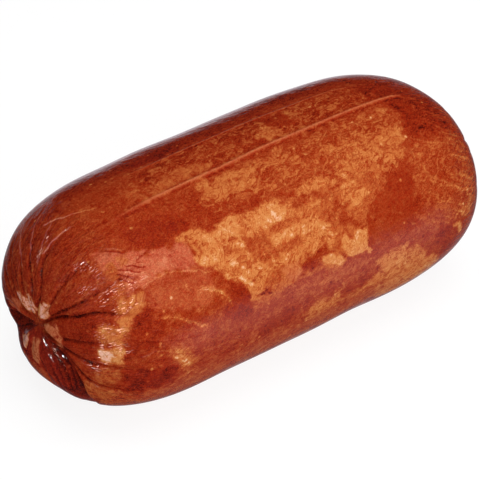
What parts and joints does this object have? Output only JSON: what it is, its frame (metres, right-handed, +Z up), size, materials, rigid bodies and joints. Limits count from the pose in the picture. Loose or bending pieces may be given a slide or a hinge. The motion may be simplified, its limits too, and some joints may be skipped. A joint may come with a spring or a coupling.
{
  "type": "smoked ham",
  "caption": "Boneless smoked ham pressed to a log in a skin-tight clear casing, pleated where it is gathered at both ends, lying on its side.",
  "frame": {"origin": "middle of the footprint, on the flat strip that the log rests on", "axes": "+X along the log, away from the near gather; +Z up; the side that the picture shows faces -Y"},
  "size_m": [0.2626, 0.128, 0.1116],
  "materials": {
    "smoked_meat": "smoked red-brown meat with orange fat, under a clear glossy casing"
  },
  "bodies": {
    "root": {"ham": "smoked_meat"}
  },
  "joints": []
}
